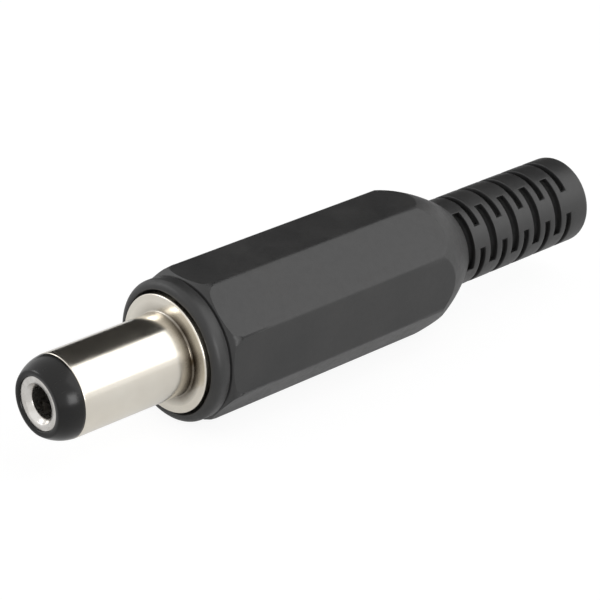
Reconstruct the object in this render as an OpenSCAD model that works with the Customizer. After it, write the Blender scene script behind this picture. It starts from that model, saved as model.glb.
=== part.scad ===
// Barrel power plug, 5.5 mm outside and 2.1 mm inside, with a screw-on cover.
// It lies on one flat of the eight-sided cover: the tip points to -Y, the cable end to +Y, and +Z is up.
// The origin is on the plug's axis, in the front face of the flange, where a socket stops the plug.

/* [Barrel] */
// Outside diameter of the sleeve that enters a socket
sleeve_d = 5.5; // [5.3:0.05:5.7]
// Wall of the sleeve
sleeve_wall = 0.45; // [0.35:0.05:0.55]
// Length from the flange's front face to the tip
barrel_len = 10; // [8.5:0.1:14]
// Length of the plastic nose in front of the sleeve
nose_len = 1.55; // [1.2:0.05:2]
// Width of the nose's flat front face, around the rim of the contact
nose_face_w = 0.35; // [0.2:0.01:0.4]
// Radius of the nose's curved side, seen in section
nose_arc_r = 2.7; // [2.2:0.02:4]
// Diameter of the flange
flange_d = 7.8; // [7.3:0.1:8]
// Thickness of the flange
flange_t = 0.8; // [0.6:0.05:1.2]
// Bevel on the flange's front edge
flange_bevel = 0.1; // [0.05:0.01:0.2]
// Radius of the fillet between the sleeve and the flange
root_fillet = 0.12; // [0.05:0.01:0.25]

/* [Centre contact] */
// Diameter of the hole for the socket's pin
pin_bore_d = 2.1; // [1.9:0.05:2.2]
// Depth of that hole from the tip
pin_bore_depth = 10.9; // [9.5:0.1:12]
// Wall of the contact's tube
contact_wall = 0.45; // [0.4:0.01:0.5]
// How far the rim at the tip stands out from the tube
rim_lip = 0.26; // [0.15:0.01:0.3]
// Thickness of that rim
rim_t = 0.4; // [0.3:0.05:0.6]
// How far the rim lies below the nose's front face
rim_sink = 0.1; // [0:0.01:0.2]
// Depth of the bevel at the mouth of the hole
mouth_bevel = 0.22; // [0.1:0.01:0.3]
// Diameter of the shank that runs back through the rear insulator
shank_d = 1.6; // [1.3:0.05:1.7]
// Thickness of the spring clip's sheet
clip_t = 0.2; // [0.15:0.01:0.25]
// Length of the spring clip
clip_len = 2.6; // [2:0.1:3]
// Width of the slit along the spring clip
clip_slit_w = 0.5; // [0.3:0.05:0.8]

/* [Threaded boss] */
// Diameter over the thread behind the flange
boss_d = 6.9; // [6.7:0.05:7]
// Length of the boss, with its relief groove
boss_len = 6; // [5:0.25:8]
// Depth of the relief groove next to the flange
relief_groove_depth = 0.3; // [0.1:0.05:0.4]
// Width of that groove
relief_groove_w = 0.5; // [0.3:0.05:0.8]
// Wall of the thin lip that is spun over behind the ground ring
lip_wall = 0.2; // [0.15:0.01:0.25]
// How far the spun lip stands out behind the ring
lip_out = 0.2; // [0.1:0.05:0.3]
// Thickness of the spun lip
lip_t = 0.3; // [0.2:0.05:0.5]

/* [Insulators] */
// Where the two insulators meet inside the sleeve, behind the flange's front face
insulator_joint_y = 3; // [2:0.1:5]
// Thickness of the rear insulator's flange
rear_flange_t = 0.8; // [0.5:0.05:1.2]
// Gap between the rear insulator's flange and the ground terminal's strip
rear_flange_gap = 0.12; // [0.05:0.01:0.3]

/* [Solder terminals] */
// Thickness of the terminals' sheet brass
sheet_t = 0.4; // [0.3:0.05:0.45]
// Width of the ground terminal's strip
strip_w = 2.4; // [2:0.1:2.6]
// How far the ground strip runs back from its ring
strip_len = 9.7; // [9:0.1:10]
// Length of the clamp ears at its end
ear_len = 3; // [2.5:0.1:4]
// Angle that the ears span around the cable
ear_span = 150; // [110:5:180]
// Diameter of the ground terminal's solder hole
ground_hole_d = 1.2; // [0.8:0.1:1.4]
// Width of the centre terminal's tongue
tongue_w = 1.6; // [1.2:0.1:2]
// Length of the centre terminal's tongue
tongue_len = 4.4; // [3:0.1:5]
// Diameter of its solder hole
tongue_hole_d = 0.8; // [0.5:0.1:0.9]
// Outside radius of the bends in the terminals
bend_r = 0.5; // [0.45:0.01:0.6]

/* [Cover] */
// Distance across the flats of the grip
across_flats = 9.4; // [9.2:0.1:11]
// How much the eight long edges are turned down
edge_break = 0.02; // [0:0.01:0.1]
// Depth of the recess that the flange sinks into
recess_depth = 0.55; // [0.3:0.05:0.6]
// Gap around the flange in that recess
recess_gap = 0.2; // [0.1:0.05:0.3]
// Diameter of the round collar at the front
collar_d = 9.36; // [9.1:0.02:9.4]
// Length of the collar
collar_len = 1.1; // [0.8:0.05:2]
// Radius of the collar's front edge
collar_round = 0.5; // [0.2:0.05:0.55]
// Width of the groove between collar and grip
groove_w = 0.2; // [0.15:0.01:0.5]
// Depth of that groove below the collar
groove_depth = 0.25; // [0.1:0.05:0.4]
// Length of the eight-sided grip, up to the rear dome
grip_len = 18.6; // [17:0.1:24]
// Radius of the turned front end of the grip, seen in section
front_arc_r = 2.1; // [1.6:0.05:4]
// How far that turned end reaches back
front_arc_len = 1.05; // [0.7:0.05:1.3]
// Bevel on the grip's front edge
front_bevel = 0.16; // [0.05:0.01:0.2]
// Length of the rear dome
dome_len = 4.1; // [3:0.05:5]
// Radius of the dome's curve, seen in section
dome_arc_r = 13.8; // [8:0.1:30]
// Clearance around the threaded boss
thread_gap = 0.05; // [0.03:0.01:0.1]
// How much wider the cavity behind the thread is than the threaded bore, on the radius
cavity_step = 0.1; // [0.05:0.01:0.15]
// How far the cavity runs at full width past the grip's rear end, or short of it when negative
cavity_past_grip = -0.5; // [-1.5:0.1:0]

/* [Bend relief] */
// Diameter of the bend relief
bend_relief_d = 6.12; // [6:0.02:7]
// Length of the bend relief
bend_relief_len = 12.37; // [12:0.01:16]
// Diameter of the cable's hole
cable_bore_d = 4.1; // [3.6:0.1:4.3]
// How much wider the cable's passage is behind that hole, on the radius
passage_step = 0.2; // [0.2:0.05:0.3]
// Radius of the relief's end edge
end_round = 0.5; // [0.2:0.05:0.6]
// Number of rows of slots
slot_rows = 10; // [6:1:10]
// Distance from one row of slots to the next
slot_pitch = 1.09; // [1.05:0.01:1.2]
// Distance from the relief's root to the middle of the first row
first_slot = 0.37; // [0.35:0.01:0.6]
// Width of the slots cut in from the two sides, along the axis
side_slot_w = 0.66; // [0.4:0.02:0.7]
// Height of those side slots
side_slot_h = 3.95; // [3:0.05:4.2]
// Width of the slots cut in from above and below, along the axis
deep_slot_w = 0.5; // [0.3:0.02:0.6]
// Height of the bridges that the deep slots leave at the two sides
bridge_h = 1.56; // [1:0.02:2]

/* [Hidden] */
$fn = 96;

grip_sides = 8;
part_gap = 0.02;          // between pieces that are pressed or slid together
cut_over = 1;             // how far a cutting solid runs past what it cuts
sleeve_edge = 0.08;       // broken edge at the sleeve's front rim
boss_edge = 0.25;         // bevel at the rear end of the thread
rivet_out = 0.4;          // how far the rivet head stands out from the shank
rivet_t = 0.35;
bore_bevel = 0.2;         // bevel at the mouth of the cable's hole
ear_join = 0.3;           // how far the strip runs into the clamp
ear_taper = 0.6;          // how much shorter each ear is at its end, front and back
parting_angle = 22.5;     // the mould's parting plane runs through two corners of the grip
ring_inset = 0.15;        // how far the ground ring's edge lies inside the thread
strip_inset = 0.15;       // how far the strip's underside lies inside the ring's edge
tongue_gap = 0.2;         // between the rivet head and the tongue
cavity_start = 0.2;       // how far behind the boss the cavity opens to its full width
throat_slope = 1.4;       // length of the cone behind the cavity for each millimetre that it narrows
ring_margin = 0.25;       // between the last slot and the plain ring at the end

sleeve_r = sleeve_d / 2;
sleeve_bore_r = sleeve_r - sleeve_wall;
flange_r = flange_d / 2;
boss_r = boss_d / 2;
rim_y = -barrel_len + nose_len;
boss_end_y = flange_t + boss_len;

bore_r = pin_bore_d / 2;
contact_r = bore_r + contact_wall;
rim_r = contact_r + rim_lip;
shank_r = shank_d / 2;
nose_face_r = rim_r + nose_face_w;
nose_base_r = sleeve_r - part_gap;
clip_r = bore_r + clip_t + part_gap;
rim_face_y = -barrel_len + rim_sink;
bore_end_y = -barrel_len + pin_bore_depth;
clip_seat_y = bore_end_y - clip_len - 2 * part_gap;

ring_seat_r = sleeve_bore_r + lip_wall;
lip_y = boss_end_y + sheet_t + part_gap;
lip_end_y = lip_y + lip_t;
ring_r = boss_r - ring_inset;
rear_face_y = lip_end_y + part_gap + rear_flange_t;
rivet_y = rear_face_y + sheet_t + 2 * part_gap;

strip_bottom = ring_r - strip_inset;
rear_flange_r = strip_bottom - sheet_t - rear_flange_gap;
strip_end_y = boss_end_y + strip_len;
ear_start_y = strip_end_y - ear_len;
tongue_top = shank_r + rivet_out + tongue_gap + sheet_t;
tongue_end_y = rear_face_y + tongue_len;

collar_y = flange_t - recess_depth;
collar_r = collar_d / 2;
groove_y = collar_y + collar_len;
grip_y = groove_y + groove_w;
grip_r = across_flats / 2 / cos(180 / grip_sides) - edge_break;
dome_y = grip_y + grip_len;
relief_y = dome_y + dome_len;
cover_end_y = relief_y + bend_relief_len;
relief_r = bend_relief_d / 2;
cable_r = cable_bore_d / 2;
recess_r = flange_r + recess_gap;
tapped_r = boss_r + thread_gap;
cavity_r = tapped_r + cavity_step;
cavity_y = boss_end_y + cavity_start;
cavity_end_y = dome_y + cavity_past_grip;
passage_r = cable_r + passage_step;
throat_y = cavity_end_y + (cavity_r - passage_r) * throat_slope;
first_slot_y = relief_y + first_slot;
plain_ring_y = first_slot_y + (slot_rows - 1) * slot_pitch + max(side_slot_w, deep_slot_w) / 2 + ring_margin;

// Centre of the circle of radius r through the points a and b, on the side of the plug's axis
function arc_centre(a, b, r) =
    let (mid = (a + b) / 2, d = (b - a) / norm(b - a), h = norm(b - a) / 2)
    mid + sqrt(r * r - h * h) * [-d[1], d[0]];

// A section drawn as [radius, distance along the plug], turned around the plug's axis
module turned() {
    rotate([-90, 0, 0]) rotate_extrude() children();
}

// Lays a drawing made in X and Z flat against the XZ plane at y, t thick towards +Y
module upright(y, t) {
    translate([0, y + t, 0]) rotate([90, 0, 0]) linear_extrude(t) children();
}

// Draws a shape made in Y and Z as a strip of width w across the plug
module from_side(w) {
    translate([-w / 2, 0, 0]) rotate([90, 0, 90]) linear_extrude(w) children();
}

// Sheet with one round bend at the corner of its two legs, one up and one along
module bent_sheet(up, along, t, r) {
    translate([0, r]) square([t, up - r]);
    translate([r, 0]) square([along - r, t]);
    translate([r, r]) difference() {
        intersection() {
            circle(r = r);
            translate([-r, -r]) square(r);
        }
        circle(r = r - t);
    }
}

// Brass tube with the flange, the threaded boss and the lip that holds the ground ring
module outer_sleeve() {
    color("gainsboro") turned() {
        difference() {
            polygon([
                [sleeve_bore_r, rim_y],
                [sleeve_r - sleeve_edge, rim_y],
                [sleeve_r, rim_y + sleeve_edge],
                [sleeve_r, -root_fillet],
                [sleeve_r + root_fillet, -root_fillet],
                [sleeve_r + root_fillet, 0],
                [flange_r - flange_bevel, 0],
                [flange_r, flange_bevel],
                [flange_r, flange_t],
                [boss_r - relief_groove_depth, flange_t],
                [boss_r - relief_groove_depth, flange_t + relief_groove_w],
                [boss_r, flange_t + relief_groove_w],
                [boss_r, boss_end_y - boss_edge],
                [boss_r - boss_edge, boss_end_y],
                [ring_seat_r, boss_end_y],
                [ring_seat_r, lip_y],
                [ring_seat_r + lip_out, lip_y],
                [ring_seat_r, lip_end_y],
                [sleeve_bore_r, lip_end_y]
            ]);
            translate([sleeve_r + root_fillet, -root_fillet]) circle(r = root_fillet);
        }
    }
}

// Plastic nose at the tip, with the tube that lines the sleeve
module tip_insulator() {
    centre = arc_centre([nose_face_r, -barrel_len], [nose_base_r, rim_y], nose_arc_r);
    color("dimgray") turned() {
        difference() {
            union() {
                intersection() {
                    translate(centre) circle(r = nose_arc_r);
                    translate([contact_r, -barrel_len]) square([sleeve_r, nose_len - part_gap]);
                }
                translate([contact_r, -barrel_len]) square([rim_lip, nose_len]);
                translate([contact_r, rim_y - nose_len / 2])
                    square([sleeve_bore_r - part_gap - contact_r, insulator_joint_y - rim_y + nose_len / 2]);
            }
            translate([0, rim_y - nose_len]) square([contact_r + part_gap, barrel_len + insulator_joint_y]);
            translate([0, -barrel_len - cut_over]) square([rim_r + part_gap, cut_over + rim_sink + rim_t]);
        }
    }
}

// Contact tube for the socket's pin, with a rim at the tip and a riveted shank at the back
module centre_contact() {
    color("gainsboro") turned() {
        polygon([
            [bore_r + mouth_bevel, rim_face_y],
            [rim_r, rim_face_y],
            [rim_r, rim_face_y + rim_t - part_gap],
            [contact_r, rim_face_y + rim_t - part_gap],
            [contact_r, insulator_joint_y],
            [shank_r, insulator_joint_y],
            [shank_r, rivet_y],
            [shank_r + rivet_out, rivet_y],
            [shank_r + rivet_out / 2, rivet_y + rivet_t],
            [0, rivet_y + rivet_t],
            [0, bore_end_y],
            [clip_r, bore_end_y],
            [clip_r, clip_seat_y],
            [bore_r, clip_seat_y],
            [bore_r, rim_face_y + mouth_bevel]
        ]);
    }
}

// Split spring clip in the widened end of the contact's bore, drawn as the pin presses it open
module contact_spring() {
    color("goldenrod") difference() {
        turned() translate([clip_r - part_gap - clip_t, clip_seat_y + part_gap]) square([clip_t, clip_len]);
        translate([-clip_slit_w / 2, clip_seat_y - cut_over, 0])
            cube([clip_slit_w, clip_len + 2 * cut_over, clip_r + cut_over]);
    }
}

// Bush that keeps the shank and the centre terminal clear of the sleeve
module rear_insulator() {
    bush_r = sleeve_bore_r - part_gap;
    hole_r = shank_r + part_gap;
    flange_y = lip_end_y + part_gap;
    color("ivory") turned() {
        translate([hole_r, insulator_joint_y + part_gap])
            square([bush_r - hole_r, flange_y - insulator_joint_y - part_gap]);
        translate([hole_r, flange_y]) square([rear_flange_r - hole_r, rear_flange_t]);
    }
}

// Ring under the spun lip, with a strip that carries the solder hole and the cable clamp
module ground_terminal() {
    face_y = boss_end_y + part_gap / 2;
    hole_y = (face_y + ear_start_y) / 2;
    color("silver") difference() {
        union() {
            upright(face_y, sheet_t) difference() {
                circle(r = ring_r);
                circle(r = ring_seat_r + part_gap);
                translate([-strip_w / 2, -ring_r - cut_over])
                    square([strip_w, ring_r + cut_over - strip_bottom + bend_r]);
            }
            from_side(strip_w) translate([face_y, -strip_bottom])
                bent_sheet(strip_bottom - ring_seat_r - part_gap, ear_start_y - face_y + ear_join,
                           sheet_t, bend_r);
            clamp_ears();
        }
        translate([0, hole_y, -strip_bottom - cut_over])
            cylinder(d = ground_hole_d, h = sheet_t + 2 * cut_over);
    }
}

// Two open ears, bent up round the cable and narrower towards their ends
module clamp_ears() {
    half = ear_span / 2;
    reach = 2 * strip_bottom;
    intersection() {
        upright(ear_start_y, ear_len) difference() {
            circle(r = strip_bottom);
            circle(r = strip_bottom - sheet_t);
            polygon([
                [0, 0],
                reach * [sin(half), -cos(half)],
                [reach, reach],
                [-reach, reach],
                reach * [-sin(half), -cos(half)]
            ]);
        }
        from_side(reach) translate([ear_start_y, -strip_bottom]) polygon([
            [0, 0],
            [ear_len, 0],
            [ear_len - ear_taper, strip_bottom],
            [ear_taper, strip_bottom]
        ]);
    }
}

// Ring under the rivet head, with a tongue that carries the centre core's solder hole
module centre_terminal() {
    face_y = rear_face_y + part_gap / 2;
    hole_y = rear_face_y + tongue_len - tongue_w / 2;
    plate_r = tongue_top;
    color("silver") difference() {
        union() {
            upright(face_y, sheet_t) difference() {
                circle(r = plate_r);
                circle(r = shank_r + part_gap);
                translate([-tongue_w / 2, tongue_top - bend_r]) square([tongue_w, bend_r + cut_over]);
            }
            intersection() {
                from_side(tongue_w) translate([face_y, tongue_top]) mirror([0, 1])
                    bent_sheet(tongue_top - shank_r - part_gap, tongue_len, sheet_t, bend_r);
                union() {
                    translate([-tongue_w / 2, face_y, 0]) cube([tongue_w, hole_y - face_y, tongue_top]);
                    translate([0, hole_y, 0]) cylinder(d = tongue_w, h = tongue_top);
                }
            }
        }
        translate([0, hole_y, shank_r]) cylinder(d = tongue_hole_d, h = tongue_top);
    }
}

// Round collar with its front edge rounded, and the bottom of the groove behind it
module collar_section() {
    translate([0, collar_y + collar_round]) square([collar_r, collar_len - collar_round]);
    translate([0, collar_y]) square([collar_r - collar_round, collar_len]);
    translate([collar_r - collar_round, collar_y + collar_round]) circle(r = collar_round);
    translate([0, collar_y + collar_round]) square([collar_r - groove_depth, collar_len + groove_w]);
}

// Turned front edge, straight grip and rear dome, as one section
module grip_section() {
    front = [grip_r - front_arc_r, grip_y + front_arc_len];
    rear = arc_centre([grip_r, dome_y], [relief_r, relief_y], dome_arc_r);
    front_r = front[0] + sqrt(pow(front_arc_r, 2) - pow(front_arc_len, 2));
    edge_y = grip_y + front_bevel + grip_r - front_r;
    intersection() {
        translate(front) circle(r = front_arc_r, $fn = 180);
        polygon([
            [grip_r - front_arc_r, grip_y],
            [front_r - front_bevel, grip_y],
            [grip_r, edge_y],
            [grip_r, front[1]],
            [grip_r - front_arc_r, front[1]]
        ]);
    }
    translate([0, grip_y]) square([grip_r - front_arc_r, front_arc_len]);
    translate([0, front[1]]) square([grip_r, dome_y - front[1]]);
    intersection() {
        translate(rear) circle(r = dome_arc_r, $fn = 360);
        translate([0, dome_y]) square([grip_r, dome_len]);
    }
}

// Bend relief with its rounded end
module relief_section() {
    translate([0, dome_y]) square([relief_r, cover_end_y - end_round - dome_y]);
    translate([0, relief_y]) square([relief_r - end_round, bend_relief_len]);
    translate([relief_r - end_round, cover_end_y - end_round]) circle(r = end_round);
}

// Recess for the flange, tapped bore, solder cavity and cable hole, from front to back
module cover_bore() {
    turned() polygon([
        [0, collar_y - cut_over],
        [recess_r, collar_y - cut_over],
        [recess_r, flange_t],
        [tapped_r, flange_t],
        [tapped_r, cavity_y],
        [cavity_r, cavity_y],
        [cavity_r, cavity_end_y],
        [passage_r, throat_y],
        [passage_r, plain_ring_y],
        [cable_r, plain_ring_y],
        [cable_r, cover_end_y - bore_bevel],
        [cable_r + bore_bevel + cut_over, cover_end_y + cut_over],
        [0, cover_end_y + cut_over]
    ]);
}

// One row of slots: every other row is cut in from the sides, the rest from above and below
module slot_row(row) {
    from_sides = row % 2 == 0;
    slot_w = from_sides ? side_slot_w : deep_slot_w;
    reach = relief_r + cut_over;
    translate([0, first_slot_y + row * slot_pitch - slot_w / 2, 0]) rotate([0, -parting_angle, 0])
        if (from_sides)
            translate([-reach, 0, -side_slot_h / 2]) cube([2 * reach, slot_w, side_slot_h]);
        else
            for (side = [0, 1])
                mirror([0, 0, side]) translate([-reach, 0, bridge_h / 2]) cube([2 * reach, slot_w, reach]);
}

// Moulded cover: collar, eight-sided grip, dome and slotted bend relief in one piece
module cover() {
    color([0.2, 0.2, 0.2]) difference() {
        union() {
            turned() collar_section();
            intersection() {
                translate([0, grip_y, 0]) rotate([-90, 180 / grip_sides, 0])
                    cylinder(d = across_flats / cos(180 / grip_sides), h = grip_len + dome_len, $fn = grip_sides);
                turned() grip_section();
            }
            turned() relief_section();
        }
        cover_bore();
        for (row = [0 : slot_rows - 1]) slot_row(row);
    }
}

outer_sleeve();
tip_insulator();
centre_contact();
contact_spring();
rear_insulator();
ground_terminal();
centre_terminal();
cover();
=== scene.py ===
# Looks for the barrel power plug: moulded cover, plated sleeve, black nose, contact and terminals.
# Lengths in the dictionaries of the pieces are millimetres; mm turns them into scene units.
import math

import bmesh
import bpy
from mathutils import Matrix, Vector


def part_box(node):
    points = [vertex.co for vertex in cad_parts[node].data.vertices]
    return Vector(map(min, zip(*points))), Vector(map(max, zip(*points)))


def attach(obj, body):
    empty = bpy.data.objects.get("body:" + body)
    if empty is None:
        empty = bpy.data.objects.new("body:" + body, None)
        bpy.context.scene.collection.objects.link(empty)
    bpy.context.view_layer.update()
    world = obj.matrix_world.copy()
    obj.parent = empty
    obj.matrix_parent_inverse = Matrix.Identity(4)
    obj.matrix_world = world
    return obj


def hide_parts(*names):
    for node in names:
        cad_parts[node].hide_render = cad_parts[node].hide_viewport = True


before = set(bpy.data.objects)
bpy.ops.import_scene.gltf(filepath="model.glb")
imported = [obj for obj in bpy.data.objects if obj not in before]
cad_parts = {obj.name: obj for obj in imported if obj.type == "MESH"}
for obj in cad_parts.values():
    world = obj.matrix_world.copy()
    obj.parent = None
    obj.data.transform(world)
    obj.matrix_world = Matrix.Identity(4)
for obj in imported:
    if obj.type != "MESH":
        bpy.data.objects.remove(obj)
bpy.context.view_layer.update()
mm = 0.001
touching = 1e-7  # metres: vertices as close as this are one
print("frame loaded")


def span(node):
    # lowest and highest corner of a node, in millimetres
    low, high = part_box(node)
    return low / mm, high / mm


def arc(centre, radius, fromDeg, toDeg, steps):
    # points as (radius from the axis, distance along the plug)
    points = []
    for i in range(steps + 1):
        a = math.radians(fromDeg + (toDeg - fromDeg) * i / steps)
        points.append((centre[0] + radius * math.cos(a), centre[1] + radius * math.sin(a)))
    return points


def arcBetween(a, b, radius, steps):
    # the arc through a and b that bulges away from the axis
    a, b = Vector(a), Vector(b)
    half = (b - a).length / 2
    along = (b - a).normalized()
    centre = (a + b) / 2 + math.sqrt(radius * radius - half * half) * Vector((-along.y, along.x))
    start = math.atan2(a.y - centre.y, a.x - centre.x)
    end = math.atan2(b.y - centre.y, b.x - centre.x)
    return arc(centre, radius, math.degrees(start), math.degrees(end), steps)


def stretch(a, b, steps):
    return [(a[0] + (b[0] - a[0]) * i / steps, a[1] + (b[1] - a[1]) * i / steps) for i in range(steps + 1)]


# the thread of sleeve and cover: how steep its flanks are over a turn, and how much of the crest is flat
thread = {"pitch": 0.75, "slope": 2.6, "crest": 0.15}


def threadDepth(y, angle, start, end, depth, fade):
    # 0 on the crest and depth in the root of a right-hand thread that fades out at both ends
    turn = (y / thread["pitch"] + angle / (2 * math.pi)) % 1
    ridge = min(1, max(0, thread["slope"] * abs(turn - 0.5) - thread["crest"]))
    ends = min(1, max(0, (y - start) / fade), max(0, (end - y) / fade))
    return depth * ridge * ends


def threadSteps(length, perTurn):
    # rows along a threaded length
    return int(length / (thread["pitch"] / perTurn))


def meshObject(name, verts, faces, unit=mm):
    mesh = bpy.data.meshes.new(name)
    mesh.from_pydata([Vector(v) * unit for v in verts], [], faces)
    mesh.validate()
    piece = bpy.data.objects.new(name, mesh)
    bpy.context.scene.collection.objects.link(piece)
    return piece


def turnedPiece(name, rows, columns, shape=None):
    # rows is a closed section of (radius, y), and radius 0 closes on the axis; shape may change a radius
    verts = []
    rings = []
    for radius, y in rows:
        if radius == 0:
            rings.append([len(verts)] * columns)
            verts.append((0, y, 0))
            continue
        rings.append(list(range(len(verts), len(verts) + columns)))
        for i in range(columns):
            angle = 2 * math.pi * i / columns
            r = shape(radius, y, angle) if shape else radius
            verts.append((r * math.cos(angle), y, r * math.sin(angle)))
    faces = []
    for a, b in zip(rings, rings[1:] + rings[:1]):
        for i in range(columns):
            j = (i + 1) % columns
            corners = [a[i], a[j], b[j], b[i]]
            face = [v for k, v in enumerate(corners) if v != corners[k - 1]]
            if len(face) > 2:
                faces.append(face)
    piece = meshObject(name, verts, faces)
    tidyNormals(piece)
    return piece


def tidyNormals(piece):
    bm = bmesh.new()
    bm.from_mesh(piece.data)
    bmesh.ops.remove_doubles(bm, verts=bm.verts, dist=touching)
    bmesh.ops.recalc_face_normals(bm, faces=bm.faces)
    bm.to_mesh(piece.data)
    bm.free()


def settle(piece):
    # turns the evaluated object into a plain mesh and drops its modifiers
    graph = bpy.context.evaluated_depsgraph_get()
    mesh = bpy.data.meshes.new_from_object(piece.evaluated_get(graph), preserve_all_data_layers=True,
                                           depsgraph=graph)
    old = piece.data
    piece.modifiers.clear()
    piece.data = mesh
    bpy.data.meshes.remove(old)
    mesh.name = piece.name


def roundEdges(piece, width, steps, sharp=None, clamp=False):
    # rounds the edges that are sharper than an angle, or the weighted ones where no angle is given
    bevel = piece.modifiers.new("edges", "BEVEL")
    bevel.width = width * mm
    bevel.segments = steps
    bevel.limit_method = "ANGLE" if sharp else "WEIGHT"
    if sharp:
        bevel.angle_limit = math.radians(sharp)
    bevel.use_clamp_overlap = clamp
    bevel.miter_outer = "MITER_ARC"
    settle(piece)


def smoothFlats(piece):
    for face in piece.data.polygons:
        face.use_smooth = True
    weigh = piece.modifiers.new("weigh", "WEIGHTED_NORMAL")
    weigh.weight = 90  # large faces stay flat, the rounds beside them take the turn
    weigh.keep_sharp = False
    settle(piece)


def finishPiece(piece, body, material, node):
    piece.data.materials.clear()
    piece.data.materials.append(material)
    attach(piece, body)
    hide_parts(node)


class Sock:
    # a socket that takes part in shader maths written as an expression
    def __init__(self, tree, socket):
        self.tree = tree
        self.socket = socket

    def maths(self, operation, other):
        return self.tree.node("ShaderNodeMath", {"operation": operation}, {0: self, 1: other})

    def __add__(self, other):
        return self.maths("ADD", other)

    __radd__ = __add__

    def __mul__(self, other):
        return self.maths("MULTIPLY", other)

    __rmul__ = __mul__

    def __pow__(self, other):
        return self.maths("POWER", other)


class Nodes:
    # a node tree and one method for any node: its type, its settings, and the values or links of its sockets
    def __init__(self, tree):
        self.nodes = tree.nodes
        self.links = tree.links

    def put(self, socket, value):
        for one in value if isinstance(value, list) else [value]:
            if isinstance(one, Sock):
                self.links.new(one.socket, socket)
            else:
                socket.default_value = one

    def node(self, kind, settings=None, values=None, out=0):
        made = self.nodes.new(kind)
        for key, value in (settings or {}).items():
            setattr(made, key, value)
        for key, value in (values or {}).items():
            self.put(made.inputs[key], value)
        return Sock(self, made.outputs[out])


class Finish(Nodes):
    # one material with its main shader
    def __init__(self, name):
        self.material = bpy.data.materials.new(name)
        self.material.use_nodes = True
        super().__init__(self.material.node_tree)
        self.nodes.clear()
        self.shader = self.nodes.new("ShaderNodeBsdfPrincipled")
        self.output = self.nodes.new("ShaderNodeOutputMaterial")
        self.links.new(self.shader.outputs[0], self.output.inputs[0])

    def place(self, scale=(1, 1, 1)):
        where = self.node("ShaderNodeTexCoord", out="Object")
        return self.node("ShaderNodeMapping", {}, {"Vector": where, "Scale": scale})

    def polar(self):
        # distance from the plug's axis, place along it and place to the side
        where = self.node("ShaderNodeTexCoord", out="Object")
        parts = self.node("ShaderNodeSeparateXYZ", {}, {"Vector": where})
        x, y, z = (Sock(self, socket) for socket in parts.socket.node.outputs)
        return (x * x + z * z) ** 0.5, y, x

    def noise(self, scale, detail, rough, vector=None):
        return self.node("ShaderNodeTexNoise", {}, {"Vector": vector or self.place(), "Scale": scale,
                                                    "Detail": detail, "Roughness": rough})

    def grade(self, value, fromLow, fromHigh, toLow, toHigh):
        return self.node("ShaderNodeMapRange", {}, {"Value": value, "From Min": fromLow, "From Max": fromHigh,
                                                    "To Min": toLow, "To Max": toHigh})

    def mix(self, factor, a, b):
        # of a Mix node's sockets, 6 and 7 take the colours and 2 gives the mixed one
        a, b = (one if isinstance(one, Sock) else (*one, 1) for one in (a, b))
        return self.node("ShaderNodeMix", {"data_type": "RGBA"}, {0: factor, 6: a, 7: b}, out=2)

    def bump(self, height, strength, distance, normal=None):
        values = {"Height": height, "Strength": strength, "Distance": distance}
        if normal:
            values["Normal"] = normal
        return self.node("ShaderNodeBump", {}, values)

    def set(self, **values):
        for key, value in values.items():
            name = {"color": "Base Color", "roughness": "Roughness", "metallic": "Metallic",
                    "normal": "Normal", "specular": "Specular IOR Level"}[key]
            if key == "color" and not isinstance(value, Sock):
                value = (*value, 1)
            self.put(self.shader.inputs[name], value)
        return self.material


# painted brown shade in the corner of the flange, darker toward one side: where it begins and where it's full
cornerShade = {"radius": (3.45, 2.9), "before": (-1.2, -0.2), "behind": (0.6, 0.2), "aside": (-1, 2.2)}


def nickelPlate():
    # turned brass under bright nickel: fine tool rings, faint clouding, small handling marks, and painted
    # brown shade in the corner between barrel and flange
    f = Finish("nickelPlate")
    rings = f.noise(14000, 2, 0.6, f.place((0.02, 1, 0.02)))
    cloud = f.noise(300, 3, 0.55)
    marks = f.noise(3000, 4, 0.6, f.place((1, 0.3, 1)))
    tint = f.mix(f.grade(cloud, 0.35, 0.7, 0, 1), (0.83, 0.79, 0.705), (0.77, 0.72, 0.635))
    radius, along, aside = f.polar()

    def near(value, ends, low=0):
        return f.grade(value, ends[0] * mm, ends[1] * mm, low, 1)

    # painted shade: the corner between barrel and flange turns dark brown, more so toward one side
    corner = near(radius, cornerShade["radius"]) * near(along, cornerShade["before"])
    corner = corner * near(along, cornerShade["behind"]) * f.grade(cloud, 0.3, 0.6, 0.6, 1)
    corner = corner * near(aside, cornerShade["aside"], 0.35)
    tint = f.mix(corner, tint, (0.07, 0.052, 0.032))
    rough = f.grade(cloud, 0.3, 0.7, 0.15, 0.21) + f.grade(marks, 0.55, 0.75, 0, 0.05) + 0.1 * corner
    return f.set(color=tint, metallic=1.0, roughness=rough, normal=f.bump(rings, 0.12, 0.000006))


def brightRim():
    # burnished end of the contact
    f = Finish("brightRim")
    cloud = f.noise(1400, 3, 0.6)
    tint = f.mix(f.grade(cloud, 0.35, 0.7, 0, 1), (0.74, 0.72, 0.69), (0.60, 0.575, 0.54))
    rough = f.grade(cloud, 0.3, 0.7, 0.2, 0.32)
    return f.set(color=tint, metallic=1.0, roughness=rough, normal=f.bump(cloud, 0.2, 0.00003))


def tinnedBrass():
    f = Finish("tinnedBrass")
    grain = f.noise(6000, 3, 0.6, f.place((1, 0.15, 1)))
    bare = f.noise(420, 3, 0.6)
    tint = f.mix(f.grade(bare, 0.6, 0.75, 0, 0.6), (0.62, 0.60, 0.56), (0.60, 0.46, 0.24))
    rough = f.grade(grain, 0.3, 0.7, 0.28, 0.42)
    return f.set(color=tint, metallic=1.0, roughness=rough, normal=f.bump(grain, 0.15, 0.00001))


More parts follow.
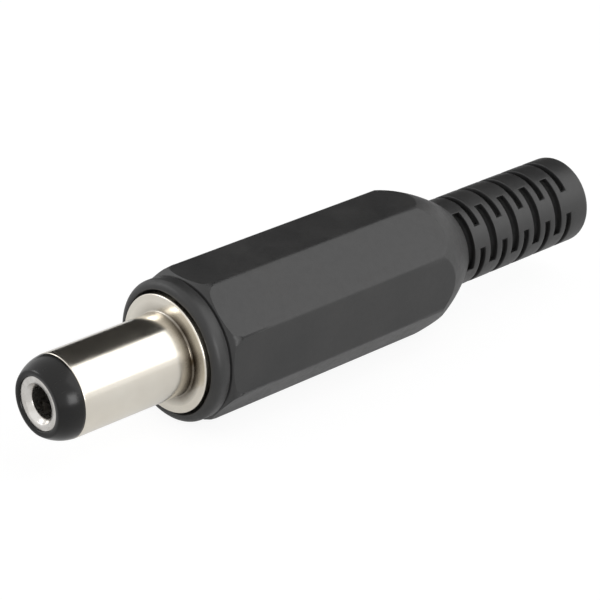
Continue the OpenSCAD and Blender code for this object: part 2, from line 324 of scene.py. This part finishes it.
def springBronze():
    f = Finish("springBronze")
    grain = f.noise(5000, 3, 0.5)
    tint = f.mix(f.grade(grain, 0.3, 0.7, 0, 1), (0.66, 0.41, 0.20), (0.55, 0.33, 0.16))
    return f.set(color=tint, metallic=1.0, roughness=f.grade(grain, 0.3, 0.7, 0.25, 0.4))


def glossBlack():
    # moulded nose: polished tool face with a trace of flow and fine scuffs
    f = Finish("glossBlack")
    flow = f.noise(300, 3, 0.5)
    scuff = f.noise(3500, 4, 0.65, f.place((1, 0.4, 1)))
    tint = f.mix(f.grade(flow, 0.3, 0.7, 0, 1), (0.008, 0.0078, 0.0076), (0.012, 0.0116, 0.0112))
    rough = f.grade(flow, 0.3, 0.7, 0.17, 0.23) + f.grade(scuff, 0.55, 0.75, 0, 0.1)
    return f.set(color=tint, roughness=rough, specular=0.3, normal=f.bump(flow, 0.05, 0.00004))


def ivoryBush():
    f = Finish("ivoryBush")
    flow = f.noise(500, 3, 0.5)
    tint = f.mix(f.grade(flow, 0.3, 0.7, 0, 1), (0.70, 0.65, 0.52), (0.63, 0.57, 0.44))
    return f.set(color=tint, roughness=f.grade(flow, 0.3, 0.7, 0.42, 0.55), normal=f.bump(flow, 0.1, 0.00003))


slotShade = (2.98, 2.7)  # radii between which the slots and the passage turn darker


def satinBlack():
    # cover: fine spark-eroded texture, a little polished by handling, with faint flow marks
    f = Finish("satinBlack")
    grain = f.noise(9000, 3, 0.6)
    drift = f.noise(230, 3, 0.55)
    speck = f.noise(2600, 3, 0.6)
    tint = f.mix(f.grade(drift, 0.3, 0.7, 0, 1), (0.023, 0.0232, 0.0235), (0.033, 0.0325, 0.032))
    # painted shade: the cover turns near black deep in the slots and the passage
    inside = f.grade(f.polar()[0], slotShade[0] * mm, slotShade[1] * mm, 0, 1)
    tint = f.mix(inside, tint, (0.003, 0.003, 0.003))
    rough = f.grade(drift, 0.3, 0.7, 0.4, 0.48) + f.grade(speck, 0.4, 0.7, -0.02, 0.05)
    fine = f.bump(grain, 0.25, 0.00002)
    return f.set(color=tint, roughness=rough, normal=f.bump(speck, 0.12, 0.00002, fine))


nickel = nickelPlate()
rimMetal = brightRim()
tinned = tinnedBrass()
bronze = springBronze()
gloss = glossBlack()
ivory = ivoryBush()
satin = satinBlack()
print("materials made")

# outer sleeve: barrel, flange, threaded boss and rolled lip
sleeveLow, sleeveHigh = span("outer_sleeve")
sleeve = {"radius": 2.75, "wall": 0.45, "frontEdge": 0.06, "boreEdge": 0.03, "root": 0.12, "nearRound": 0.3,
          "nearEnd": 2, "flangeRadius": sleeveHigh.x, "flangeThick": 0.8, "flangeEdge": 0.08,
          "flangeBack": 0.05, "bossRadius": 3.45, "bossLen": 6.0, "bossBevel": 0.25, "groove": 0.3,
          "grooveWide": 0.5, "lipWall": 0.2, "lipOut": 0.2, "lipThick": 0.3, "threadDeep": 0.28,
          "threadRun": 0.2, "threadFade": 0.4, "threadRows": 10, "columns": 128}


def makeSleeve(s):
    outer, inner = s["radius"], s["radius"] - s["wall"]
    front, edge, flangeEdge, backEdge = sleeveLow.y, s["frontEdge"], s["flangeEdge"], s["flangeBack"]
    bossEnd = s["flangeThick"] + s["bossLen"]
    bevelY = bossEnd - s["bossBevel"]
    threadStart = s["flangeThick"] + s["grooveWide"]
    lipY = sleeveHigh.y - s["lipThick"]
    seat = inner + s["lipWall"]
    rows = [(inner, front + s["boreEdge"]), (inner + s["boreEdge"], front)]
    rows += arc((outer - edge, front + edge), edge, -90, 0, 5)
    rows += stretch((outer, front + s["nearRound"]), (outer, -s["root"] - s["nearRound"]), 6)
    rows += arc((outer + s["root"], -s["root"]), s["root"], 180, 90, 6)
    rows += stretch((outer + s["root"] + flangeEdge, 0), (s["flangeRadius"] - flangeEdge - backEdge, 0), 3)
    rows += arc((s["flangeRadius"] - flangeEdge, flangeEdge), flangeEdge, -90, 0, 5)
    rows += arc((s["flangeRadius"] - backEdge, s["flangeThick"] - backEdge), backEdge, 0, 90, 3)
    rows += [(s["bossRadius"] - s["groove"], s["flangeThick"]), (s["bossRadius"] - s["groove"], threadStart)]
    rows += stretch((s["bossRadius"], threadStart), (s["bossRadius"], bevelY),
                    threadSteps(bevelY - threadStart, s["threadRows"]))
    rows += [(s["bossRadius"] - s["bossBevel"], bossEnd), (seat, bossEnd), (seat, lipY)]
    rows += arcBetween((seat + s["lipOut"], lipY), (seat, sleeveHigh.y), s["lipThick"], 4)
    rows += [(inner, sleeveHigh.y), (inner, bossEnd - s["nearEnd"]), (inner, 0),
             (inner, front + s["nearEnd"])]
    runStart = threadStart - s["threadRun"]
    runEnd = bossEnd - s["bossBevel"] / 2 + s["threadRun"]

    def shape(radius, y, angle):
        if not math.isclose(radius, s["bossRadius"]):
            return radius
        return radius - threadDepth(y, angle, runStart, runEnd, s["threadDeep"], s["threadFade"])

    piece = turnedPiece("outerSleeve", rows, s["columns"], shape)
    smoothFlats(piece)
    finishPiece(piece, "plug", nickel, "outer_sleeve")


makeSleeve(sleeve)
print("sleeve made")

# nose at the tip, centre contact and rear bush
noseLow, noseHigh = span("tip_insulator")
contactLow, contactHigh = span("centre_contact")
bushLow, bushHigh = span("rear_insulator")
nose = {"faceRadius": 2.11, "faceEdge": 0.05, "faceCut": (0.012, 0.015), "arcRadius": 2.7, "arcSteps": 14,
        "holeEdge": 0.03, "rim": 1.78, "rimDeep": 0.5, "tube": 1.52, "tubeRow": 1, "gap": 0.02,
        "columns": 128}
contact = {"bore": 1.05, "wall": 0.45, "lip": 0.26, "rimThick": 0.38, "edge": 0.05, "mouth": 0.27,
           "mouthDeep": 0.34, "mouthStep": 0.01, "coneShare": 0.8, "coneEdge": 0.03, "shank": 0.8,
           "rivet": 0.4, "rivetThick": 0.35, "rivetDome": ((1, 1), (0.9, 0.45), (0.4, 0)),
           "clipRadius": 1.27, "clipLen": 2.64, "holeDeep": 10.8, "jointY": 3.0, "columns": 96}
bush = {"hole": 0.82, "flangeThick": 0.8, "edge": 0.06, "columns": 96}


def makeNose(n):
    front, back = noseLow.y, noseHigh.y
    rimY = sleeveLow.y
    outer, tube = sleeve["radius"] - n["gap"], sleeve["radius"] - sleeve["wall"] - n["gap"]
    rows = [(n["rim"], front + n["rimDeep"]), (n["rim"], front + n["holeEdge"])]
    rows += [(n["rim"] + n["holeEdge"], front), (n["faceRadius"] - n["faceEdge"], front)]
    side = arcBetween((n["faceRadius"], front), (outer, rimY - n["gap"]), n["arcRadius"], n["arcSteps"])
    rows += [(side[0][0] + n["faceCut"][0], front + n["faceCut"][1])] + side[1:]
    rows += [(outer - n["gap"], rimY - n["gap"] / 2), (tube, rimY - n["gap"] / 2),
             (tube, rimY + n["tubeRow"]), (tube, back), (n["tube"], back), (n["tube"], rimY),
             (n["tube"], front + n["rimDeep"])]
    piece = turnedPiece("tipInsulator", rows, n["columns"])
    smoothFlats(piece)
    finishPiece(piece, "plug", gloss, "tip_insulator")


def makeContact(c):
    face, back = contactLow.y, contactHigh.y
    rim, tube = c["bore"] + c["wall"] + c["lip"], c["bore"] + c["wall"]
    holeEnd = c["holeDeep"] + face
    clipSeat = holeEnd - c["clipLen"]
    edge, mouthY = c["edge"], face + c["mouthDeep"]
    coneInside = (c["bore"] + edge, face + c["mouthDeep"] * c["coneShare"])
    coneOutside = (c["bore"] + c["mouth"] - c["coneEdge"], face + edge)
    rows = [(c["bore"], mouthY + edge), (c["bore"] + c["mouthStep"], mouthY)]
    rows += stretch(coneInside, coneOutside, 3)
    rows += [(c["bore"] + c["mouth"], face), (rim - edge, face)]
    rows += arc((rim - edge, face + edge), edge, -60, 0, 3)
    rows += [(rim, face + c["rimThick"]), (tube, face + c["rimThick"]), (tube, c["jointY"])]
    rows += [(c["shank"], c["jointY"]), (c["shank"], back - c["rivetThick"])]
    rows += [(c["shank"] + c["rivet"] * wide, back - c["rivetThick"] * deep) for wide, deep in c["rivetDome"]]
    rows += [(0, back), (0, holeEnd), (c["clipRadius"], holeEnd), (c["clipRadius"], clipSeat),
             (c["bore"], clipSeat)]
    piece = turnedPiece("centreContact", rows, c["columns"])
    smoothFlats(piece)
    finishPiece(piece, "plug", rimMetal, "centre_contact")


def makeBush(b):
    low, high = bushLow.y, bushHigh.y
    inner = sleeve["radius"] - sleeve["wall"] - nose["gap"]
    outer, edge = bushHigh.x, b["edge"]
    step = high - b["flangeThick"]
    rows = [(b["hole"], low), (inner, low), (inner, step)]
    rows += arc((outer - edge, step + edge), edge, -90, 0, 3)
    rows += arc((outer - edge, high - edge), edge, 0, 90, 3)
    rows += [(b["hole"] + edge, high), (b["hole"], high - edge)]
    piece = turnedPiece("rearInsulator", rows, b["columns"])
    smoothFlats(piece)
    finishPiece(piece, "plug", ivory, "rear_insulator")


makeNose(nose)
makeContact(contact)
makeBush(bush)
print("nose, contact and bush made")

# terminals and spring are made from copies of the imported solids
sheet = {"edge": 0.04, "springEdge": 0.02, "steps": 2, "sharp": 35, "weld": 0.002, "level": 1, "tiny": 0.01}


def makeSheetPiece(node, name, material, edge):
    # a merged copy of the solid with its stamped edges turned down
    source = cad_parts[node]
    piece = bpy.data.objects.new(name, source.data.copy())
    bpy.context.scene.collection.objects.link(piece)
    bm = bmesh.new()
    bm.from_mesh(piece.data)
    bmesh.ops.remove_doubles(bm, verts=bm.verts, dist=sheet["weld"] * mm)
    bmesh.ops.dissolve_limit(bm, angle_limit=math.radians(sheet["level"]), verts=bm.verts, edges=bm.edges)
    bmesh.ops.dissolve_degenerate(bm, dist=sheet["tiny"] * mm, edges=bm.edges)
    bm.to_mesh(piece.data)
    bm.free()
    roundEdges(piece, edge, sheet["steps"], sheet["sharp"], clamp=True)
    smoothFlats(piece)
    finishPiece(piece, "plug", material, node)


makeSheetPiece("ground_terminal", "groundTerminal", tinned, sheet["edge"])
makeSheetPiece("centre_terminal", "centreTerminal", tinned, sheet["edge"])
makeSheetPiece("contact_spring", "contactSpring", bronze, sheet["springEdge"])
print("terminals made")

# cover: its slots are measured from the start of the bend relief
coverLow, coverHigh = span("cover")
cover = {"flats": coverHigh.z * 2, "sides": 8, "cornerTrim": 0.02, "edge": 0.12, "edgeSteps": 3,
         "slotEdge": 0.05, "recess": 4.1, "recessDeep": 0.55, "lipEdge": 0.03, "collar": 4.68,
         "collarLen": 1.1, "collarRound": 0.5, "collarBack": 0.05, "groove": 0.2, "grooveDeep": 0.25,
         "grooveEdge": 0.03, "gripLen": 18.6, "gripRow": 3, "frontArc": 2.1, "frontArcLen": 1.05,
         "frontBevel": 0.16, "frontRows": 8, "domeLen": 4.1, "domeArc": 13.8, "domeSteps": 90,
         "domeRows": 18, "relief": 3.06, "endRound": 0.5, "hole": 2.05, "passage": 2.25, "mouth": 0.2,
         "tapped": 3.5, "tappedLen": 6.2, "threadDeep": 0.26, "threadFade": 0.3, "threadRows": 8,
         "cavity": 3.6, "throatSlope": 1.4, "cavityShort": 0.5}
slots = {"pairs": 5, "pitch": 1.09, "first": 0.37, "sideWide": 0.66, "sideHigh": 3.95, "deepWide": 0.5,
         "bridge": 1.56, "turn": 22.5, "cells": (4, 7, 2, 12), "weld": 0.001}
# which edges are rounded: turns in degrees, then margins along and across in mm
rounds = {"slotSharp": 50, "gripSharp": 15, "gripFull": 40, "lengthwise": 0.7, "before": 0.01, "under": 0.1,
          "pastGrip": 1}


def slotColumns(c, s):
    # column angles from the slots' own axis, for the outer skin and for the passage inside:
    # both sets have a column on every slot wall and on every corner of the grip
    def walls(radius):
        return [0, math.asin(s["bridge"] / 2 / radius), math.asin(s["sideHigh"] / 2 / radius)]

    outer = walls(c["relief"]) + [math.pi / 4, math.pi / 2]
    inner = walls(c["passage"])
    share = (outer[3] - outer[2]) / (outer[4] - outer[2])
    inner += [inner[2] + share * (math.pi / 2 - inner[2]), math.pi / 2]

    def wholeTurn(ends):
        quarter = []
        for a, b, cells in zip(ends, ends[1:], s["cells"]):
            quarter += [a + (b - a) * i / cells for i in range(cells)]
        half = quarter + [math.pi - a for a in reversed(quarter[1:] + [math.pi / 2])]
        return half + [a + math.pi for a in half]

    return wholeTurn(outer), wholeTurn(inner)


def coverLines(c, s):
    # places along the cover, measured from its front
    y0 = coverLow.y
    corner = c["flats"] / 2 / math.cos(math.pi / c["sides"]) - c["cornerTrim"]
    grooveY = y0 + c["collarLen"]
    gripY = grooveY + c["groove"]
    domeY = gripY + c["gripLen"]
    reliefY = domeY + c["domeLen"]
    slotStart = reliefY + s["first"] - s["sideWide"] / 2
    slotEnd = slotStart + 2 * s["pitch"] * s["pairs"]
    centre = (corner - c["frontArc"], gripY + c["frontArcLen"])
    frontEdge = centre[0] + math.sqrt(c["frontArc"] ** 2 - c["frontArcLen"] ** 2) - c["frontBevel"]
    dome = arcBetween((corner, domeY), (c["relief"], reliefY), c["domeArc"], c["domeSteps"])
    return {"y0": y0, "corner": corner, "grooveY": grooveY, "gripY": gripY, "domeY": domeY,
            "reliefY": reliefY, "slotStart": slotStart, "slotEnd": slotEnd, "frontCentre": centre,
            "frontEdge": frontEdge, "dome": dome}


def frontYAt(c, g, r):
    # where the turned front end of the grip reaches radius r
    onBevel = g["gripY"] + r - g["frontEdge"]
    onArc = g["frontCentre"][1] - math.sqrt(max(0, c["frontArc"] ** 2 - (r - g["frontCentre"][0]) ** 2))
    return max(onBevel, onArc)


def domeAt(g, value, known, wanted):
    # walks the dome's arc for the radius at a place (known 1, wanted 0) or the place of a radius
    for a, b in zip(g["dome"], g["dome"][1:]):
        if min(a[known], b[known]) <= value <= max(a[known], b[known]):
            return a[wanted] + (b[wanted] - a[wanted]) * (value - a[known]) / (b[known] - a[known])
    return g["dome"][-1][wanted] if known else g["domeY"]


def outerRows(c, g, angle):
    # one column of the outside from the collar's lip to the first slot; angle is from the slots' axis
    part = 2 * math.pi / c["sides"]
    flatR = min(g["corner"], c["flats"] / 2 / math.cos(angle % part - part / 2))
    lipRound, backEdge, grooveEdge = c["collarRound"], c["collarBack"], c["grooveEdge"]
    floor = c["collar"] - c["grooveDeep"]
    rows = [(c["recess"] + c["lipEdge"], g["y0"])]
    rows += arc((c["collar"] - lipRound, g["y0"] + lipRound), lipRound, -90, 0, 8)
    rows += [(c["collar"], g["grooveY"] - backEdge), (c["collar"] - backEdge, g["grooveY"]),
             (floor + grooveEdge, g["grooveY"]), (floor, g["grooveY"] + grooveEdge),
             (floor, g["gripY"] - grooveEdge), (floor + grooveEdge, g["gripY"])]
    for i in range(c["frontRows"] + 1):
        r = g["frontEdge"] + (flatR - g["frontEdge"]) * i / c["frontRows"]
        rows.append((r, frontYAt(c, g, r)))
    back = domeAt(g, flatR, 0, 1)
    rows += stretch((flatR, rows[-1][1] + c["gripRow"]), (flatR, back - c["gripRow"]), 3)
    for i in range(c["domeRows"]):
        y = back + (g["reliefY"] - back) * i / c["domeRows"]
        rows.append((min(flatR, domeAt(g, y, 1, 0)), y))
    return rows + [(c["relief"], g["slotStart"])]


def endRows(c, g):
    # the plain ring behind the slots: its outside, then its hole
    end = coverHigh.y
    outside = [(c["relief"], g["slotEnd"])] + arc((c["relief"] - c["endRound"], end - c["endRound"]),
                                                  c["endRound"], 0, 90, 8)
    inside = [(c["hole"] + c["mouth"], end), (c["hole"], end - c["mouth"]), (c["hole"], g["slotEnd"]),
              (c["passage"], g["slotEnd"])]
    return outside, inside


def innerRows(c, g):
    # passage, cavity and tapped hole, from the slots back to the recess at the front
    cavityEnd = g["domeY"] - c["cavityShort"]
    throatEnd = cavityEnd + (c["cavity"] - c["passage"]) * c["throatSlope"]
    recessEnd = g["y0"] + c["recessDeep"]
    tappedEnd = recessEnd + c["tappedLen"]
    steps = threadSteps(c["tappedLen"], c["threadRows"])
    rows = stretch((c["passage"], g["slotStart"]), (c["passage"], throatEnd), 3)
    rows += stretch((c["cavity"], cavityEnd), (c["cavity"], tappedEnd), 5)
    rows += stretch((c["tapped"], tappedEnd), (c["tapped"], recessEnd), steps)
    return rows + [(c["recess"], recessEnd), (c["recess"], g["y0"] + c["lipEdge"])], recessEnd, tappedEnd


def coverBody(c, s, g):
    # everything but the slotted tube, left open where that tube is welded in
    outer, inner = slotColumns(c, s)
    turn = math.radians(s["turn"])
    outside, inside = endRows(c, g)
    core, tapStart, tapEnd = innerRows(c, g)
    verts = []
    for a, b in zip(outer, inner):
        skin = outerRows(c, g, a) + outside
        for r, y in skin:
            verts.append((r * math.cos(a + turn), y, r * math.sin(a + turn)))
        for r, y in inside + core:
            if math.isclose(r, c["tapped"]):
                r -= c["threadDeep"] - threadDepth(y + thread["pitch"] / 2, b + turn, tapStart, tapEnd,
                                                   c["threadDeep"], c["threadFade"])
            verts.append((r * math.cos(b + turn), y, r * math.sin(b + turn)))
    count = len(skin) + len(inside) + len(core)
    gaps = (len(skin) - len(outside) - 1, len(skin) + len(inside) - 1)
    faces = []
    for i in range(len(outer)):
        a, b = i * count, (i + 1) % len(outer) * count
        for row in range(count):
            if row not in gaps:
                after = (row + 1) % count
                faces.append((a + row, b + row, b + after, a + after))
    return meshObject("coverShell", verts, faces)


def slotPair(c, s):
    # a ring cut from both sides and the next one cut from above and below, open at both ends
    outer, inner = slotColumns(c, s)
    turn = math.radians(s["turn"])
    middle = s["sideWide"] / 2 + s["pitch"]
    ys = [0, s["sideWide"], middle - s["deepWide"] / 2, middle + s["deepWide"] / 2, 2 * s["pitch"]]
    count = len(outer)
    verts = []
    for a, b in zip(outer, inner):
        for y in ys:
            verts.append((c["relief"] * math.cos(a + turn), y, c["relief"] * math.sin(a + turn)))
            verts.append((c["passage"] * math.cos(b + turn), y, c["passage"] * math.sin(b + turn)))

    def isOpen(i, j):
        after = outer[i + 1] if i + 1 < count else 2 * math.pi
        height = c["relief"] * abs(math.sin((outer[i] + after) / 2))
        return height < s["sideHigh"] / 2 if j == 0 else j == 2 and height > s["bridge"] / 2

    def at(i, j, side):
        return (i % count * len(ys) + j) * 2 + side

    faces = []
    for i in range(count):
        for j in range(len(ys) - 1):
            if isOpen(i, j):
                for k in (j, j + 1):
                    faces.append((at(i, k, 0), at(i + 1, k, 0), at(i + 1, k, 1), at(i, k, 1)))
            else:
                for side in (0, 1):
                    faces.append((at(i, j, side), at(i + 1, j, side),
                                  at(i + 1, j + 1, side), at(i, j + 1, side)))
            if isOpen(i, j) != isOpen((i + 1) % count, j):
                faces.append((at(i + 1, j, 0), at(i + 1, j + 1, 0), at(i + 1, j + 1, 1), at(i + 1, j, 1)))
    return meshObject("slotPair", verts, faces)


class Tree(Nodes):
    # geometry tree with named inputs
    def __init__(self, name):
        self.group = bpy.data.node_groups.new(name, "GeometryNodeTree")
        self.group.is_modifier = True
        super().__init__(self.group)
        self.inputs = {}
        self.addInput("Geometry", "NodeSocketGeometry")
        self.group.interface.new_socket("Geometry", in_out="OUTPUT", socket_type="NodeSocketGeometry")
        self.start = self.nodes.new("NodeGroupInput")
        self.end = self.nodes.new("NodeGroupOutput")

    def addInput(self, name, kind):
        self.inputs[name] = self.group.interface.new_socket(name, in_out="INPUT", socket_type=kind)

    def given(self, name):
        return Sock(self, self.start.outputs[name])

    def run(self, piece, **values):
        # adds the tree to a piece, sets its inputs and keeps the result as a plain mesh
        modifier = piece.modifiers.new(self.group.name, "NODES")
        modifier.node_group = self.group
        for name, value in values.items():
            modifier[self.inputs[name].identifier] = value
        settle(piece)


def slotTree():
    # repeats the pair of slotted rings along the plug and welds them into the cover
    t = Tree("slotRings")
    t.addInput("Pair", "NodeSocketObject")
    t.addInput("Count", "NodeSocketInt")
    for name in ("Start", "Step", "Weld"):
        t.addInput(name, "NodeSocketFloat")
    t.addInput("Finish", "NodeSocketMaterial")
    start = t.node("ShaderNodeCombineXYZ", {}, {"Y": t.given("Start")})
    step = t.node("ShaderNodeCombineXYZ", {}, {"Y": t.given("Step")})
    line = t.node("GeometryNodeMeshLine", {"mode": "OFFSET", "count_mode": "TOTAL"},
                  {"Count": t.given("Count"), "Start Location": start, "Offset": step})
    pair = t.node("GeometryNodeObjectInfo", {}, {"Object": t.given("Pair")}, out="Geometry")
    rings = t.node("GeometryNodeInstanceOnPoints", {}, {"Points": line, "Instance": pair})
    both = t.node("GeometryNodeJoinGeometry", {}, {"Geometry": [t.given("Geometry"), rings]})
    real = t.node("GeometryNodeRealizeInstances", {}, {"Geometry": both})
    welded = t.node("GeometryNodeMergeByDistance", {}, {"Geometry": real, "Distance": t.given("Weld")})
    done = t.node("GeometryNodeSetMaterial", {}, {"Geometry": welded, "Material": t.given("Finish")})
    t.put(t.end.inputs[0], done)
    return t


def weighCoverEdges(piece, c, g):
    # slot edges get a small round, the long corners of the grip a wider one
    bm = bmesh.new()
    bm.from_mesh(piece.data)
    weight = bm.edges.layers.float.new("bevel_weight_edge")
    for edge in bm.edges:
        if len(edge.link_faces) != 2:
            print("cover: open edge near", edge.verts[0].co)
            continue
        turn = math.degrees(edge.calc_face_angle_signed(0))
        ends = [v.co / mm for v in edge.verts]
        r = min(math.hypot(p.x, p.z) for p in ends)
        y = min(p.y for p in ends)
        onSlot = y > g["slotStart"] - rounds["before"] and r > c["relief"] - rounds["under"]
        onGrip = g["gripY"] < y < g["domeY"] + rounds["pastGrip"] and r > c["flats"] / 2
        if onSlot and turn > rounds["slotSharp"]:
            edge[weight] = c["slotEdge"] / c["edge"]
        elif onGrip and turn > rounds["gripSharp"]:
            along = abs(ends[0].y - ends[1].y) / (ends[0] - ends[1]).length
            share = (turn - rounds["gripSharp"]) / (rounds["gripFull"] - rounds["gripSharp"])
            edge[weight] = min(1, share) if along > rounds["lengthwise"] else 0
    bm.to_mesh(piece.data)
    bm.free()


def makeCover(c, s):
    g = coverLines(c, s)
    piece = coverBody(c, s, g)
    pair = slotPair(c, s)
    slotTree().run(piece, Pair=pair, Count=s["pairs"], Start=g["slotStart"] * mm, Step=2 * s["pitch"] * mm,
                   Weld=s["weld"] * mm, Finish=satin)
    bpy.data.objects.remove(pair)
    tidyNormals(piece)
    weighCoverEdges(piece, c, g)
    roundEdges(piece, c["edge"], c["edgeSteps"])
    smoothFlats(piece)
    finishPiece(piece, "cover", satin, "cover")
    print("cover", len(piece.data.polygons), "faces")


makeCover(cover, slots)

# floor, dark cloth, world and lamps: their lengths are in metres
stage = {"floorSize": 1.6, "floorDrop": 0.0002, "floorColor": 0.8, "floorSeen": 0.9, "floorShade": 0.17,
         "floorMirrored": 0.44, "flagRadius": 0.33, "flagFrom": 90, "flagTo": 192, "flagStart": 0.12,
         "flagEnd": 0.7, "flagSteps": 24, "worldLit": 0.45, "worldSeen": 1.0, "lampAim": 0.004}


def floorPaper(s):
    # white to the camera with a trace of shadow, paler than it is lit in reflections, plain for other light
    f = Finish("floorPaper")
    camera = f.node("ShaderNodeLightPath", out="Is Camera Ray")
    glossy = f.node("ShaderNodeLightPath", out="Is Glossy Ray")
    level = s["floorSeen"] * camera + s["floorMirrored"] * glossy
    glow = f.node("ShaderNodeEmission", {}, {"Color": (1, 1, 1, 1), "Strength": level})
    lit = f.mix(s["floorMirrored"] * glossy, (s["floorColor"],) * 3, (0.0, 0.0, 0.0))
    shade = f.mix(camera, lit, (s["floorShade"],) * 3)
    paper = f.node("ShaderNodeBsdfDiffuse", {}, {"Color": shade})
    both = f.node("ShaderNodeAddShader", {}, {0: glow, 1: paper})
    f.put(f.output.inputs[0], both)
    return f.material


def darkCloth():
    f = Finish("darkCloth")
    return f.set(color=(0.03, 0.028, 0.026), roughness=1.0)


def makeFloor(s):
    size = s["floorSize"] / 2
    z = coverLow.z * mm - s["floorDrop"]
    corners = [(-size, -size, z), (size, -size, z), (size, size, z), (-size, size, z)]
    floor = meshObject("floor", corners, [(0, 1, 2, 3)], unit=1)
    floor.data.materials.append(floorPaper(s))


def makeFlag(s):
    # dark curved cloth above and behind, which only reflections show: it gives the metal its dark band
    steps = s["flagSteps"]
    verts = []
    for i in range(steps + 1):
        a = math.radians(s["flagFrom"] + (s["flagTo"] - s["flagFrom"]) * i / steps)
        for y in (s["flagStart"], s["flagEnd"]):
            verts.append((s["flagRadius"] * math.cos(a), y, s["flagRadius"] * math.sin(a)))
    faces = [(2 * i, 2 * i + 1, 2 * i + 3, 2 * i + 2) for i in range(steps)]
    flag = meshObject("flag", verts, faces, unit=1)
    flag.data.materials.append(darkCloth())
    for kind in ("camera", "diffuse", "transmission", "volume_scatter", "shadow"):
        setattr(flag, "visible_" + kind, False)


# toward each lamp from the plug, its distance and width in metres, and how bright its face is
lamps = {"key": {"toward": (0.56, 0.52, 0.64), "far": 0.42, "wide": 0.46, "bright": 0.96},
         "front": {"toward": (0.93, -0.10, 0.22), "far": 0.40, "wide": 0.16, "bright": 5.5},
         "side": {"toward": (-0.72, -0.50, 0.46), "far": 0.45, "wide": 0.16, "bright": 3.2}}


def makeLamps():
    aim = Vector((0, stage["lampAim"], 0))
    for name, one in lamps.items():
        data = bpy.data.lights.new(name, "AREA")
        data.shape = "SQUARE"
        data.size = one["wide"]
        data.energy = one["bright"] * math.pi * one["wide"] ** 2
        lamp = bpy.data.objects.new(name, data)
        toward = Vector(one["toward"]).normalized()
        lamp.location = aim + toward * one["far"]
        lamp.rotation_euler = (-toward).to_track_quat("-Z", "Y").to_euler()
        bpy.context.scene.collection.objects.link(lamp)


def makeWorld(s):
    # brighter where it is seen, straight, mirrored or through something, than as light
    world = bpy.data.worlds.new("studio")
    bpy.context.scene.world = world
    world.use_nodes = True
    w = Nodes(world.node_tree)
    camera, glossy, through = (w.node("ShaderNodeLightPath", out=kind)
                               for kind in ("Is Camera Ray", "Is Glossy Ray", "Is Transmission Ray"))
    seen = camera.maths("MAXIMUM", glossy).maths("MAXIMUM", through)
    level = w.node("ShaderNodeMapRange", {},
                   {"Value": seen, "To Min": s["worldLit"], "To Max": s["worldSeen"]})
    ground = w.nodes["Background"]
    w.put(ground.inputs[0], (1, 1, 1, 1))
    w.put(ground.inputs[1], level)


view = {"azimuth": 46.74, "elevation": 24.99, "lens": 156.0, "sensor": 36.0, "distance": 161.58,
        "aside": 8.442, "above": 3.349}


def makeCamera(v):
    # looks along the given direction, with the plug's origin left of and below the middle
    turn, rise = math.radians(v["azimuth"]), math.radians(v["elevation"])
    ahead = -Vector((math.sin(turn) * math.cos(rise), -math.cos(turn) * math.cos(rise), math.sin(rise)))
    right = ahead.cross(Vector((0, 0, 1))).normalized()
    up = right.cross(ahead)
    data = bpy.data.cameras.new("camera")
    data.lens = v["lens"]
    data.sensor_width = v["sensor"]
    data.clip_start = mm
    camera = bpy.data.objects.new("camera", data)
    camera.location = (v["aside"] * right + v["above"] * up - v["distance"] * ahead) * mm
    camera.rotation_euler = ahead.to_track_quat("-Z", "Y").to_euler()
    bpy.context.scene.collection.objects.link(camera)
    bpy.context.scene.camera = camera


makeFloor(stage)
makeFlag(stage)
makeLamps()
makeWorld(stage)
makeCamera(view)
bpy.context.scene.view_settings.view_transform = "Standard"
print("stage set")
